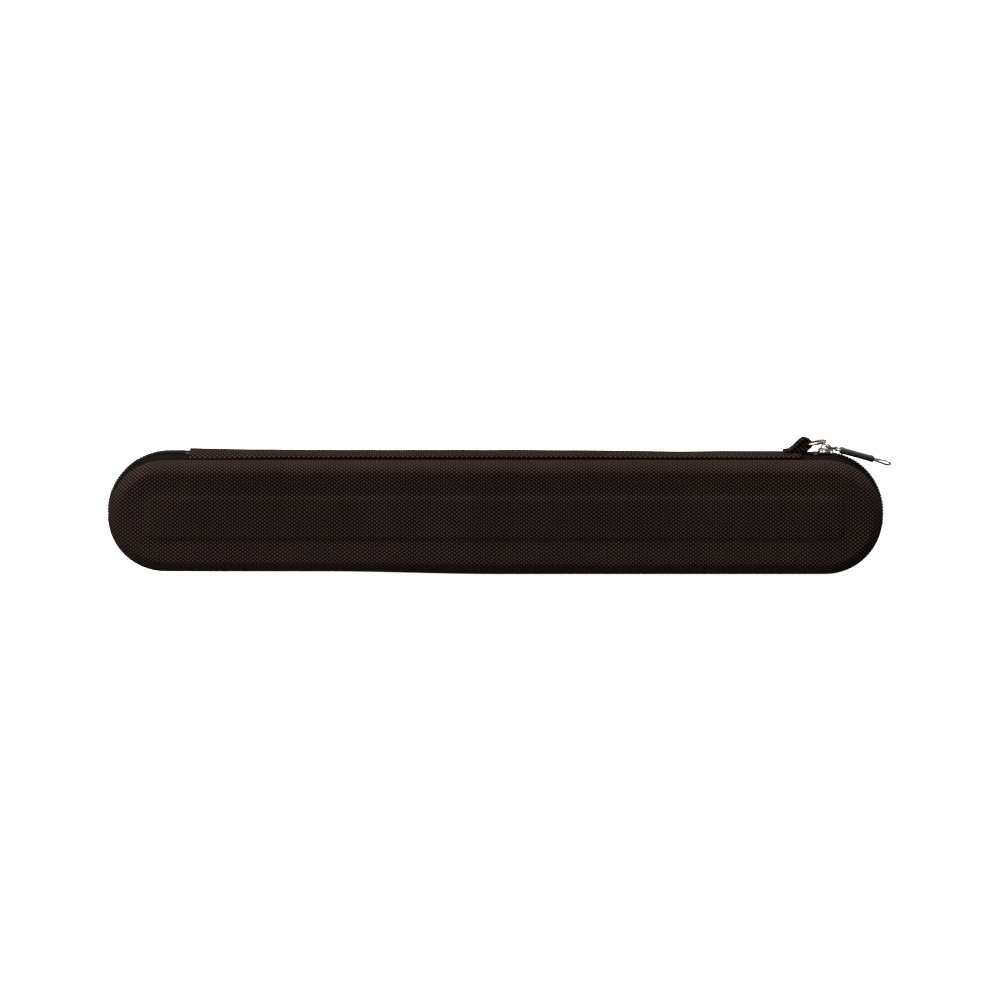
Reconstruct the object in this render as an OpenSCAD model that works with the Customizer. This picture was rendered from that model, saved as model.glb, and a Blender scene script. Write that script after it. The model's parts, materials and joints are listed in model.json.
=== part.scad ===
// Moulded EVA travel case for a multi-piece fishing rod: two fabric-covered
// shells that open like a book about a fabric spine, and close with a coil zip.
// The case lies on its back shell. X runs along it, Y points to the spine, and
// the lid is on top. The origin is the middle of the face that it lies on.

/* [Case] */
// Length of the shells, nose to nose
case_length = 496; // [400:1:620]
// Width of the shells, from the opening side to the spine side
case_width = 73.6; // [68:0.2:96]
// Depth of each shell, from its rim to its face
shell_depth = 20; // [19:0.5:30]
// Width of the band between the two rims
band_width = 26; // [24:0.5:36]

/* [Shell wall] */
// Thickness of the woven cover with its backing
cover_t = 1; // [0.6:0.1:1.4]
// Thickness of the EVA core
core_t = 3; // [2:0.1:4]
// Thickness of the knitted lining
lining_t = 0.8; // [0.5:0.1:1.2]
// Radius of the shoulder between the wall and the face
shoulder_r = 7.5; // [6.5:0.5:10]
// Half width of the raised panel on each face
panel_half = 15; // [10:0.5:18]
// Width of the slope from the panel down into the crease round it
crease_run = 1.5; // [1:0.1:3]
// Depth of that crease
crease_depth = 1.2; // [0.4:0.1:2]

/* [Zip] */
// Thickness of the zip tape
tape_t = 0.8; // [0.5:0.1:1]
// Height of the tape under the coil above the shell's wall
tape_rise = 1; // [0:0.1:1.4]
// Depth of the groove where the tape or the spine meets the rim
groove_depth = 1.8; // [1:0.1:2.4]
// Width of one coil
coil_w = 2.6; // [2:0.1:3]
// Height of the coil above its tape
coil_h = 2; // [1.6:0.1:2.4]
// Gap between the two coils, where their heads mesh
coil_gap = 2.2; // [2:0.1:2.6]
// Angle from the spine side at which the zip parts into its two halves
part_angle = 30; // [24:1:34]
// Height of the sewn margin of the tape inside the shell
margin_h = 8; // [6:0.5:9]

/* [Spine] */
// Straight stretch of zip beyond each end of the fabric spine
zip_lead = 14.2; // [14:0.2:40]
// Thickness of the spine's woven cover
spine_cover_t = 1; // [0.6:0.1:1.2]
// Thickness of the foam strip inside the spine
spine_pad_t = 2; // [1:0.1:2.4]
// Height that the spine bulges above the shell's wall
spine_rise = 3.5; // [0.5:0.1:4]

/* [Slider and puller] */
// Length of the slider
slider_length = 10; // [9:0.1:12]
// Thickness of each of the slider's plates
slider_plate_t = 1.1; // [0.8:0.1:1.4]
// Angle round the end of the case at which the slider is parked
park_angle = 3; // [3:0.5:8]
// Slope of the puller from the slider's own direction
puller_slope = 9; // [5:0.5:9]
// Distance from the slider's bridge to the barrel of the link
link_pitch = 6.7; // [6.7:0.1:8.2]
// Wire diameter of the puller's loop
loop_wire = 1.5; // [1.2:0.1:1.7]
// Length of the puller's loop, between the middles of its ends
loop_length = 36.5; // [30:0.5:44]
// Length of the rubber sleeve on the loop
sleeve_length = 22.5; // [16:0.5:24]
// Thickness of the rubber sleeve
sleeve_t = 4.2; // [3.6:0.1:4.4]

/* [Ring] */
// Wire diameter of the D-ring
ring_wire = 2; // [1.6:0.1:2.4]
// Reach of the D-ring from its bar
ring_reach = 11; // [10:0.5:12]
// Width of the fabric tab that holds it
tab_w = 14; // [10:0.5:15]
// Tilt of the ring at rest, outwards from the spine
ring_tilt = 8; // [8:1:30]

/* [Inside] */
// Width of each elastic rod strap
strap_w = 25; // [16:1:32]
// Distance of each rod strap from the middle of the case
strap_at = 110; // [70:1:130]
// Height of the middle of the strap above the lining of the face
strap_h = 10; // [7:0.5:11]
// Width of the lid's mesh pocket from the opening side
pocket_w = 44; // [30:1:48]

/* [Hidden] */
radius = case_width / 2;                      // of the shells' round ends
half_run = case_length / 2 - radius;          // half of the straight stretch
height = 2 * shell_depth + band_width;        // from the back face to the front
mid = height / 2;                             // plane in which the zip meshes
wall_t = cover_t + core_t + lining_t;
inner_r = radius - wall_t;                    // inside of the lining
bond = 0.05;                                  // film between sewn or glued faces
fold_gap = 0.3;                               // between bodies that move apart
part_gap = 0.3;                               // between the halves of the zip where it parts
groove_r = radius - groove_depth;
tape_r = radius + tape_rise;                  // outer face of the tape at the coil
margin_r = inner_r - bond - tape_t;           // inner face of the sewn margin
tape_edge = mid - coil_gap / 2;
tape_bend = tape_edge - coil_w - 0.6;         // where the tape starts to slope away
coil_r = tape_r + bond;
crest_r = coil_r + coil_h;
spine_layers = spine_cover_t + spine_pad_t + lining_t;
spine_end = half_run - zip_lead;               // half of the fabric spine
binding_t = 0.7;
binding_low = shell_depth - margin_h - 1;     // lower edge of the binding
slack = 0.4;                                  // round the zip inside the slider
plate_r = crest_r + slack + slider_plate_t;   // top of the slider's upper plate
slider_half_w = coil_w + coil_gap / 2 + slack + slider_plate_t;
slider_half_angle = asin(slider_length / 2 / crest_r);
wedge_w = coil_gap - 0.6;
bridge_w = 2;
bridge_gap = 2.3;                             // height of the eye under the bridge
bridge_t = 1.1;
eye_half = 1.9;
link_bar = 1.5;
link_w = 5;
link_t = 1.2;
link_window = 3;
barrel_d = loop_wire + 1.4;
pivot_r = plate_r + bridge_gap / 2 + 0.3;     // axis of the link under the bridge
loop_half = link_w / 2 + 0.2 + loop_wire / 2; // from its middle to each arm
sleeve_from = 3;                              // from the barrel to the sleeve
tab_eye_r = 2.9;
tab_r = 4.2;
tab_x = spine_end + 3.5;                      // middle of the tab's eye
tab_y = radius + spine_rise + tab_r;
ring_x = tab_x + 1.5;                         // axis of the ring's bar
ring_y = tab_y + 0.3;
ring_half = tab_w / 2 + 0.4 + ring_wire / 2;
strap_t = 1.2;
pocket_t = 0.8;
pocket_z = height - wall_t - crease_depth - 3;
hem_d = 2.4;
fine = 72;

function reversed(points) = [for (i = [len(points) - 1 : -1 : 0]) points[i]];

// ---- Sweeps: a section drawn as [distance from the middle line, height] ----

// One straight stretch on the spine side, between two places along X.
module straight(from, to)
    translate([from, 0, 0]) rotate([90, 0, 90]) linear_extrude(to - from) children();

// The right-hand end, between two angles from the spine side.
module right_end(from, to)
    translate([half_run, 0, 0]) rotate([0, 0, 90 - to])
        rotate_extrude(angle = to - from, $fn = fine) children();

// All the way round the case.
module all_round() {
    right_end(0, 180) children();
    mirror([1, 0, 0]) right_end(0, 180) children();
    straight(-half_run, half_run) children();
    mirror([0, 1, 0]) straight(-half_run, half_run) children();
}

// Round the ends and the opening side, where the zip parts.
module zip_round() {
    from = part_angle + asin(part_gap / crest_r);
    right_end(from, 180) children();
    mirror([1, 0, 0]) right_end(from, 180) children();
    mirror([0, 1, 0]) straight(-half_run, half_run) children();
}

// The stretch from the spine's right end to where the zip parts.
module zip_end(from) {
    straight(from, half_run) children();
    right_end(0, part_angle) children();
}

// The same thing on the lid, upside down.
module on_lid() translate([0, 0, height]) mirror([0, 0, 1]) children();

// Both halves of something in the band, as a section and as a body.
module both_sides() {
    children();
    translate([0, height]) mirror([0, 1]) children();
}

module both_halves() {
    children();
    on_lid() children();
}

// ---- Shells ----

// Outline of a shell from its middle line to its rim, moved inwards.
function shell_line(inset) = concat(
    [[0, inset], [panel_half, inset], [panel_half + crease_run, inset + crease_depth]],
    [for (a = [0 : 15 : 90])
        [radius - shoulder_r, shoulder_r] + (shoulder_r - inset) * [sin(a), -cos(a)]],
    [[radius - inset, shell_depth]]);

module shell_layer(from, to)
    all_round() polygon(concat(shell_line(from), reversed(shell_line(to))));

module shell_cover() shell_layer(0, cover_t);
module shell_core() shell_layer(cover_t + bond, cover_t + core_t - bond);
module shell_lining() shell_layer(cover_t + core_t, wall_t);

// Bias binding over the raw edges of tape and lining, inside the rim.
module shell_binding() {
    face = margin_r - bond;
    all_round() polygon([
        [inner_r - bond, binding_low], [inner_r - bond, binding_low + binding_t],
        [face, binding_low + binding_t], [face, shell_depth - bond],
        [face - binding_t, shell_depth - bond], [face - binding_t, binding_low]]);
}

module base_cover() color("#2b2523") shell_cover();
module base_core() color("#1a1a1c") shell_core();
module base_lining() color("#3a3a3e") shell_lining();
module base_binding() color("#141416") shell_binding();
module lid_cover() color("#2b2523") on_lid() shell_cover();
module lid_core() color("#1a1a1c") on_lid() shell_core();
module lid_lining() color("#3a3a3e") on_lid() shell_lining();
module lid_binding() color("#141416") on_lid() shell_binding();

// ---- Zip ----

// The tape between its groove and its edge at the coil.
function tape_band(low) = [
    [groove_r, low], [tape_r, tape_bend], [tape_r, tape_edge],
    [tape_r - tape_t, tape_edge], [tape_r - tape_t, tape_bend + 0.1],
    [groove_r - tape_t + 0.2, low + tape_t]];

// The same tape with its margin, which turns in over the rim and is sewn down.
module sewn_tape() {
    low = shell_depth + bond;
    polygon(concat(tape_band(low), [
        [margin_r, low + tape_t], [margin_r, shell_depth - margin_h],
        [margin_r + tape_t, shell_depth - margin_h], [margin_r + tape_t, low]]));
}

module free_tape() {
    low = shell_depth + fold_gap;
    polygon(concat(tape_band(low), [[groove_r - tape_t, low]]));
}

module coil_bead() {
    half = coil_w / 2;
    translate([coil_r, tape_edge - half])
        polygon(concat([[0, half], [0, -half]],
            [for (a = [-90 : 15 : 90]) [coil_h - half + half * cos(a), half * sin(a)]]));
}

module base_zip_tape() color("#1c1b1b") zip_round() sewn_tape();
module base_zip_coil() color("#161616") zip_round() coil_bead();
module lid_zip_tape() color("#1c1b1b") on_lid() zip_round() sewn_tape();
module lid_zip_coil() color("#161616") on_lid() zip_round() coil_bead();

tape_from = spine_end + 0.2;
stop_length = 2.6;
stop_from = half_run + crest_r * sin(park_angle - slider_half_angle) - stop_length - 0.6;
coil_from = stop_from + stop_length + 0.1;

module right_zip_tape() color("#1c1b1b") both_halves() zip_end(tape_from) free_tape();
module right_zip_coil() color("#161616") both_halves() zip_end(coil_from) coil_bead();
module left_zip_tape()
    color("#1c1b1b") mirror([1, 0, 0]) both_halves() zip_end(tape_from) free_tape();
module left_zip_coil()
    color("#161616") mirror([1, 0, 0]) both_halves()
        zip_end(tape_from + stop_length + 0.3) coil_bead();

// Two metal clips that the slider is parked against, one on each tape.
module top_stops() color("#8f9092")
    straight(stop_from, stop_from + stop_length) both_sides()
        translate([coil_r, tape_edge - coil_w]) square([coil_h * 0.8, coil_w]);

// One metal clip across both tapes at the far end of the zip.
module bottom_stop() color("#8f9092")
    mirror([1, 0, 0]) straight(tape_from + 0.1, tape_from + stop_length)
        translate([coil_r, tape_edge - coil_w])
            square([coil_h * 0.8, coil_gap + 2 * coil_w]);

// ---- Spine ----

// Arched outline across the band, moved inwards.
function spine_arch(inset, trim) =
    let (half = band_width / 2, steps = 12, reach = half - trim)
    [for (i = [0 : steps])
        let (z = reach * (2 * i / steps - 1))
        [groove_r - inset + (groove_depth + spine_rise) * (1 - pow(z / half, 2)), mid + z]];

module spine_layer(from, to, trim)
    straight(-spine_end, spine_end)
        polygon(concat(spine_arch(from, trim), reversed(spine_arch(to, trim))));

module spine_cover() color("#2b2523") spine_layer(0, spine_cover_t, fold_gap);
module spine_pad() color("#1a1a1c")
    spine_layer(spine_cover_t + bond, spine_cover_t + spine_pad_t - bond, 1.5);
module spine_lining() color("#3a3a3e")
    spine_layer(spine_cover_t + spine_pad_t, spine_layers, fold_gap);

// Folded tab sewn on the end of the spine, with the eye that holds the ring.
module ring_tab() color("#262120") difference() {
    translate([0, 0, mid - tab_w / 2]) linear_extrude(tab_w) hull() {
        translate([tab_x, tab_y]) circle(r = tab_r, $fn = 32);
        translate([spine_end - 8, radius - 1]) square([8, 1.5]);
    }
    translate([tab_x, tab_y, mid - tab_w]) cylinder(r = tab_eye_r, h = 2 * tab_w, $fn = fine);
    straight(-spine_end - 1, tab_x + tab_r)
        polygon(concat(spine_arch(-bond, fold_gap), reversed(spine_arch(4, fold_gap))));
}

// ---- D-ring ----

module d_ring() color("#b9babd") translate([ring_x, ring_y, mid]) rotate([0, 0, ring_tilt]) {
    run = ring_reach - ring_half;
    wire = ring_wire / 2;
    translate([0, 0, -ring_half]) cylinder(r = wire, h = 2 * ring_half, $fn = fine);
    for (side = [-1, 1]) translate([0, 0, side * ring_half]) {
        sphere(r = wire, $fn = fine);
        rotate([0, 90, 0]) cylinder(r = wire, h = run, $fn = fine);
    }
    translate([run, 0, 0]) rotate([90, 0, 0]) rotate([0, 0, -90])
        rotate_extrude(angle = 180, $fn = fine)
            translate([ring_half, 0]) circle(r = wire, $fn = fine);
}

// ---- Slider and puller ----

// Places children at the slider: X along the zip, Y outwards, Z across.
module at_slider()
    translate([half_run, 0, 0]) rotate([0, 0, -park_angle]) children();

// Sweeps a section round the end of the case, between two places along the slider.
module slider_sweep(from, to)
    rotate([0, 0, 90 - asin(to / crest_r)])
        rotate_extrude(angle = asin(to / crest_r) - asin(from / crest_r), $fn = fine)
            children();

module slider() color("#b4b5b8") at_slider() {
    half = slider_length / 2;
    low_r = tape_r - tape_t - slack;
    flange_r = tape_r + slack;
    slider_sweep(-half, half) {
        translate([plate_r - slider_plate_t, mid - slider_half_w])
            square([slider_plate_t, 2 * slider_half_w]);
        both_sides() translate([flange_r, mid - slider_half_w])
            square([plate_r - flange_r, slider_plate_t]);
        translate([low_r - slider_plate_t, mid - slider_half_w + 0.5])
            square([slider_plate_t, 2 * slider_half_w - 1]);
    }
    slider_sweep(-half, -half + 2.6)
        translate([low_r - 0.5, mid - wedge_w / 2])
            square([plate_r - low_r, wedge_w]);
    translate([0, 0, mid - bridge_w / 2]) linear_extrude(bridge_w) difference() {
        outer = eye_half + bridge_t + 0.2;
        translate([-outer, plate_r - 0.4]) square([2 * outer, bridge_gap + bridge_t + 0.4]);
        translate([-eye_half, plate_r]) square([2 * eye_half, bridge_gap]);
    }
}

// Places children at the puller: X along it, from the axis under the bridge.
module at_puller()
    at_slider() translate([0, pivot_r, mid]) rotate([0, 0, -puller_slope]) children();

module across(diameter, length)
    translate([0, 0, -length / 2]) cylinder(d = diameter, h = length, $fn = fine);

module puller_link() color("#9b9186") at_puller() {
    window_end = link_pitch - barrel_d / 2 - 0.2;
    across(link_bar, link_w);
    difference() {
        union() {
            translate([0, -link_t / 2, -link_w / 2]) cube([link_pitch, link_t, link_w]);
            translate([link_pitch, 0, 0]) across(barrel_d, link_w);
        }
        translate([-1, -link_t, -link_window / 2]) cube([window_end + 1, 2 * link_t, link_window]);
        translate([link_pitch, 0, 0]) across(loop_wire + 0.4, 2 * link_w);
    }
}

module puller_loop() color("#b9babd") at_puller() translate([link_pitch, 0, 0]) {
    run = loop_length - loop_half;
    across(loop_wire, 2 * loop_half);
    for (side = [-1, 1]) translate([0, 0, side * loop_half]) {
        sphere(d = loop_wire, $fn = fine);
        rotate([0, 90, 0]) cylinder(d = loop_wire, h = run, $fn = fine);
    }
    translate([run, 0, 0]) rotate([90, 0, 0]) rotate([0, 0, -90])
        rotate_extrude(angle = 180, $fn = fine)
            translate([loop_half, 0]) circle(d = loop_wire, $fn = fine);
}

module puller_sleeve() color("#121212") at_puller()
    translate([link_pitch + sleeve_from, 0, 0]) rotate([0, 90, 0]) linear_extrude(sleeve_length)
        difference() {
            union() {
                square([2 * loop_half, sleeve_t], center = true);
                for (side = [-1, 1]) translate([side * loop_half, 0])
                    circle(d = sleeve_t, $fn = fine);
            }
            for (side = [-1, 1]) translate([side * loop_half, 0])
                circle(d = loop_wire + 2 * bond, $fn = fine);
        }

// ---- Inside ----

// Elastic strap sewn to the lining on both long walls, over the rods.
module rod_strap(x) {
    wall = inner_r - bond;
    foot = wall - strap_t;
    low = shoulder_r + 0.3;
    top = wall_t + strap_h;
    half = [[foot, low], [foot, low + 2], [foot - 8, top - 1.5], [0, top],
            [0, top + strap_t], [foot - 8, top + strap_t - 1.5], [wall, low + 2], [wall, low]];
    color("#202024") translate([x - strap_w / 2, 0, 0]) {
        rotate([90, 0, 90]) linear_extrude(strap_w) polygon(half);
        mirror([0, 1, 0]) rotate([90, 0, 90]) linear_extrude(strap_w) polygon(half);
    }
}

module rod_strap_left() rod_strap(-strap_at);
module rod_strap_right() rod_strap(strap_at);

// Mesh panel sewn round the lid's opening side, with an elastic hem.
module pocket_mesh() color("#222226") difference() {
    all_round() translate([0, pocket_z]) square([inner_r - bond, pocket_t]);
    translate([-case_length / 2, pocket_w - inner_r, 0]) cube([case_length, case_width, height]);
}

module pocket_hem() {
    edge = pocket_w - inner_r + hem_d / 2 + bond;
    reach = half_run + sqrt(pow(inner_r, 2) - pow(edge + hem_d, 2)) - 0.5;
    color("#111113") translate([-reach, edge, pocket_z + pocket_t / 2]) rotate([0, 90, 0])
        cylinder(d = hem_d, h = 2 * reach, $fn = fine);
}

base_cover();
base_core();
base_lining();
base_binding();
base_zip_tape();
base_zip_coil();
rod_strap_left();
rod_strap_right();
lid_cover();
lid_core();
lid_lining();
lid_binding();
lid_zip_tape();
lid_zip_coil();
pocket_mesh();
pocket_hem();
spine_cover();
spine_pad();
spine_lining();
left_zip_tape();
left_zip_coil();
right_zip_tape();
right_zip_coil();
bottom_stop();
top_stops();
ring_tab();
d_ring();
slider();
puller_link();
puller_loop();
puller_sleeve();
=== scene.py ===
"""Travel case for a multi-piece fishing rod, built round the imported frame."""

import json
import math

import bmesh
import bpy
import numpy as np
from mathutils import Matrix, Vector, noise


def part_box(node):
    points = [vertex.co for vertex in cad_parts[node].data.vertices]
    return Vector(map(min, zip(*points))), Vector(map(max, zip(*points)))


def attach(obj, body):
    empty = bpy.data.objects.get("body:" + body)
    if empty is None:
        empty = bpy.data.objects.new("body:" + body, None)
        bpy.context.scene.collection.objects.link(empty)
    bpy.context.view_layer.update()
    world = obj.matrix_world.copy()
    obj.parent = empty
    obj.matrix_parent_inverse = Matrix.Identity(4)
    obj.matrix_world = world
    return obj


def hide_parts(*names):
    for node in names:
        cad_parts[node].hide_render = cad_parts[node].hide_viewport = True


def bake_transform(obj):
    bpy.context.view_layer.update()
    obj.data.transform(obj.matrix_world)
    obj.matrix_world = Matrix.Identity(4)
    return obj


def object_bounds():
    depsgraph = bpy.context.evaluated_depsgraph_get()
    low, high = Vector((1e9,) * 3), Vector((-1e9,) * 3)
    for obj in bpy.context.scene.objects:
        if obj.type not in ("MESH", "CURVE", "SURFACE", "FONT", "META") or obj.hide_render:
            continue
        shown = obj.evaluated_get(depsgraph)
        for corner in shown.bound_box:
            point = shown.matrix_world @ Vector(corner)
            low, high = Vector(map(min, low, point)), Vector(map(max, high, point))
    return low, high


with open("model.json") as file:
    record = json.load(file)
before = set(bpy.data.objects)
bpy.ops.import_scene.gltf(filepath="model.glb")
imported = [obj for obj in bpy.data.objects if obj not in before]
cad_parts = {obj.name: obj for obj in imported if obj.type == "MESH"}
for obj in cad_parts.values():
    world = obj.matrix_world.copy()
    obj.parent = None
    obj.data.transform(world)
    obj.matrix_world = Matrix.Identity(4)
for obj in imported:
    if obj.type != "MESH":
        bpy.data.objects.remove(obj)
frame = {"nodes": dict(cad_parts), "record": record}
cad_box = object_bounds()

MM = 0.001

# ---- Sizes, from the frame ----

shell_low, shell_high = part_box("base_cover")
RADIUS = shell_high.y                            # of the shells' round ends
HALF_RUN = shell_high.x - RADIUS                 # half of the straight stretch
BASE_RIM = shell_high.z
LID_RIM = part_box("lid_cover")[0].z
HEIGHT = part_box("lid_cover")[1].z
MID = HEIGHT / 2
SHOULDER = 7.5 * MM
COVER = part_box("base_core")[0].z - shell_low.z
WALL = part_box("base_lining")[0].z + 0.8 * MM
INNER = RADIUS - WALL
PANEL_HALF = 15.2 * MM                           # half width of the raised panel
PANEL_REACH = HALF_RUN + 12.6 * MM               # half length of the raised panel
CREASE = 0.75 * MM
UNDERCUT = 0.8 * MM                              # how far the wall leans in at the rim
SLACK = 1.3                                      # flattens the shoulder: 1 is a true round
BOND = 0.05 * MM
DROOP = math.radians(3.5)                        # of the wire loop in the link's barrel
END_ROLL = math.radians(-15)                     # twist of the loop's free end

SPINE_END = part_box("spine_cover")[1].x
SPINE_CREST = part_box("spine_cover")[1].y
GROOVE = RADIUS - 1.8 * MM
BAND_HALF = (LID_RIM - BASE_RIM) / 2
TAPE = 0.8 * MM
COIL_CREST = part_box("base_zip_coil")[1].x - HALF_RUN
TAPE_FACE = COIL_CREST - 2.05 * MM               # outer face of the tape at the coil
COIL_GAP = 2.2 * MM
COIL_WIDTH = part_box("base_zip_coil")[1].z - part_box("base_zip_coil")[0].z
COIL_PITCH = 1.97 * MM
PART_ANGLE = math.radians(30)                    # from the spine side to where the zip parts
MARGIN_FACE = INNER - 0.05 * MM

joints = {j["name"]: j for j in frame["record"]["behaviour"]["joints"]}
LINK_AXIS = Vector(joints["link_swing"]["pos_m"])
LOOP_AXIS = Vector(joints["loop_swing"]["pos_m"])
RING_AXIS = Vector(joints["ring_swing"]["pos_m"])
PARK_ANGLE = math.atan2(LINK_AXIS.x - HALF_RUN, LINK_AXIS.y)
strap_ring = next(m for m in frame["record"]["mounts"] if m["name"] == "strap_ring")
RING_TILT = math.asin(-strap_ring["axis"][0])


# ---- Node materials ----

class Value:
    """A number in a material's nodes: arithmetic on it adds Math nodes."""

    def __init__(self, paint, socket):
        self.paint = paint
        self.socket = socket

    def __add__(self, other):
        return self.paint.math("ADD", self, other)

    def __sub__(self, other):
        return self.paint.math("SUBTRACT", self, other)

    def __rsub__(self, other):
        return self.paint.math("SUBTRACT", other, self)

    def __mul__(self, other):
        return self.paint.math("MULTIPLY", self, other)

    def __truediv__(self, other):
        return self.paint.math("DIVIDE", self, other)

    def __pow__(self, other):
        return self.paint.math("POWER", self, other)

    __radd__ = __add__
    __rmul__ = __mul__


class Paint:
    """One material, with a Principled shader whose uniform values are set directly."""

    def __init__(self, name, **uniform):
        self.material = bpy.data.materials.new(name)
        self.material.use_nodes = True
        self.nodes = self.material.node_tree.nodes
        self.links = self.material.node_tree.links
        self.shader = self.nodes["Principled BSDF"]
        for socket, value in uniform.items():
            self.shader.inputs[socket.replace("_", " ")].default_value = value

    def put(self, socket, value):
        if isinstance(value, Value):
            self.links.new(value.socket, socket)
        else:
            socket.default_value = value

    def node(self, kind, settings=None, inputs=None, out=0):
        made = self.nodes.new("ShaderNode" + kind)
        for key, value in (settings or {}).items():
            setattr(made, key, value)
        for key, value in (inputs or {}).items():
            self.put(made.inputs[key], value)
        return Value(self, made.outputs[out])

    def math(self, operation, *values):
        return self.node("Math", {"operation": operation}, dict(enumerate(values)))

    def clamp(self, value):
        return self.node("Clamp", None, {"Value": value})

    def floor(self, value):
        return self.math("FLOOR", value)

    def fract(self, value):
        return self.math("FRACT", value)

    def cosine(self, value):
        return self.math("COSINE", value)

    def ramp(self, value, low, high):
        """0 below low and 1 above high, smooth between."""
        return self.node("MapRange", {"interpolation_type": "SMOOTHSTEP"},
                         {"Value": value, "From Min": low, "From Max": high})

    def place(self):
        """The point on the piece, in its own axes, as a vector."""
        return self.node("TexCoord", out="Object")

    def along_z(self):
        """Height of the point on the piece."""
        return self.node("SeparateXYZ", None, {"Vector": self.place()}, out=2)

    def uv(self):
        """The piece's own map, in millimetres of cloth, as two numbers."""
        split = self.node("SeparateXYZ", None, {"Vector": self.node("UVMap", {"uv_map": "cloth"})})
        return split, Value(self, split.socket.node.outputs[1])

    def noise(self, scale, detail=2.0, rough=0.5):
        return self.node("TexNoise", None, {
            "Vector": self.place(), "Scale": scale, "Detail": detail, "Roughness": rough})

    def blend(self, factor, first, second):
        """Mixes two colours, each a tuple or a colour already made."""
        made = self.nodes.new("ShaderNodeMix")
        made.data_type = "RGBA"
        for key, value in ((0, factor), (6, first), (7, second)):
            self.put(made.inputs[key], (*value, 1) if isinstance(value, tuple) else value)
        return Value(self, made.outputs[2])

    def finish(self, colour=None, roughness=None, height=None, depth=0.0, metallic=None, alpha=None):
        """Links what varies over the surface to the shader. Depth is the relief in metres."""
        for name, value in (("Base Color", colour), ("Roughness", roughness),
                            ("Metallic", metallic), ("Alpha", alpha)):
            if value is not None:
                self.put(self.shader.inputs[name], value)
        if height is not None:
            bump = self.node("Bump", None, {"Height": height, "Distance": depth})
            self.links.new(bump.socket, self.shader.inputs["Normal"])
        return self.material


def weave(paint, u, v, pitch_u, pitch_v):
    """A plain weave: how high the yarn stands, and 1 where the crosswise yarn is on top."""
    a, b = u / pitch_u, v / pitch_v
    over = paint.math("PINGPONG", paint.floor(a) + paint.floor(b), 1.0)
    fa, fb = paint.fract(a) - 0.5, paint.fract(b) - 0.5
    across = fa + over * (fb - fa)
    along = fb + over * (fa - fb)
    body = paint.clamp(1 - (across * 2.0) ** 2.0) ** 0.5
    return body * paint.clamp(paint.cosine(along * 1.8)), over


def woven_cover(name, tone=1.0, shaded_seams=False, shaded_walls=False):
    """Coarse polyester basket weave with dusty wear; painted highlight on the lengthwise yarn, painted
    shade on the crosswise yarn and in the near-black gaps.

    Painted shade darkens the cloth down the walls towards the rim, and along the spine's edges in the
    groove under the rims.
    """
    paint = Paint(name, Specular_IOR_Level=0.0)
    u, v = paint.uv()
    drift = paint.noise(90.0, 3.0) - 0.5
    height, over = weave(paint, u + drift * 0.5, v + drift * 0.35, 1.59, 1.22)
    fibre = paint.noise(2600.0, 2.0)
    patch = paint.noise(24.0, 4.0, 0.6)
    # Painted highlight and shade: yarn crowns lit, gaps near black, crosswise yarn dimmed; fibre and
    # patch are the cloth's own uneven tone.
    shade = height ** 2.0 * (1 - over * 0.88) * (0.55 + fibre * 0.9) * (0.6 + patch * 0.8)
    reach = paint.math("ABSOLUTE", paint.along_z() - MID)
    # Painted shade: the cloth turns near black on the walls, from just below the shoulder down to the
    # rim.
    if shaded_walls:
        wall = MID - SHOULDER
        shade = shade * (0.1 + paint.ramp(reach, wall - 5 * MM, wall + 1.8 * MM) * 0.9)
    # Painted shade: the spine's cloth goes near black along its two edges, in the groove under the
    # shells' rims.
    if shaded_seams:
        shade = shade * (1 - paint.ramp(reach, BAND_HALF - 2.5 * MM, BAND_HALF - 1.7 * MM) * 0.98)
    # dark is painted shade in the gaps; light is the yarn's colour with its painted highlight.
    dark = (0.0007 * tone, 0.0004 * tone, 0.0003 * tone)
    light = (0.0275 * tone, 0.0181 * tone, 0.0152 * tone)
    return paint.finish(paint.blend(paint.clamp(shade), dark, light),
                        roughness=0.42 + fibre * 0.3, height=height, depth=0.35 * MM)


def knit_lining(name):
    """Brushed loop-knit lining, charcoal, with a soft nap."""
    paint = Paint(name, Sheen_Weight=0.5, Sheen_Roughness=0.5, Specular_IOR_Level=0.2)
    u, v = paint.uv()
    a, b = u / 1.1, v / 0.9
    wale = paint.cosine((paint.fract(a) - 0.5) * 5.4)
    course = paint.cosine((paint.fract(b + paint.math("ABSOLUTE", paint.fract(a) - 0.5)) - 0.5) * 5.0)
    nap = paint.noise(900.0, 4.0, 0.7)
    height = paint.clamp(wale * course * 0.6 + nap * 0.5)
    colour = paint.blend(height, (0.012, 0.012, 0.014), (0.065, 0.065, 0.072))
    return paint.finish(colour, roughness=0.75 + nap * 0.2, height=height, depth=0.15 * MM)


def foam(name):
    """Cut edge of closed-cell EVA foam."""
    paint = Paint(name, Specular_IOR_Level=0.3)
    cells = paint.node("TexVoronoi", None, {"Vector": paint.place(), "Scale": 1800.0})
    colour = paint.blend(cells, (0.010, 0.010, 0.011), (0.028, 0.028, 0.030))
    return paint.finish(colour, roughness=0.75 + cells * 0.2, height=cells, depth=0.1 * MM)


def ribbed_tape(name, pitch, dark, light, across=False, shine=0.15):
    """Narrow woven tape: ribs one way and fine picks the other."""
    paint = Paint(name, Specular_IOR_Level=shine)
    u, v = paint.uv()
    if across:
        u, v = v, u
    ribs = paint.cosine((paint.fract(v / pitch) - 0.5) * 6.0) * 0.5 + 0.5
    picks = paint.cosine((paint.fract(u / 0.45 + paint.floor(v / pitch) * 0.5) - 0.5) * 5.0) * 0.5 + 0.5
    fibre = paint.noise(1800.0, 3.0)
    height = ribs * (0.5 + picks * 0.5)
    colour = paint.blend(paint.clamp(height * (0.5 + fibre)), dark, light)
    return paint.finish(colour, roughness=0.55 + fibre * 0.3, height=height, depth=0.15 * MM)


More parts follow.
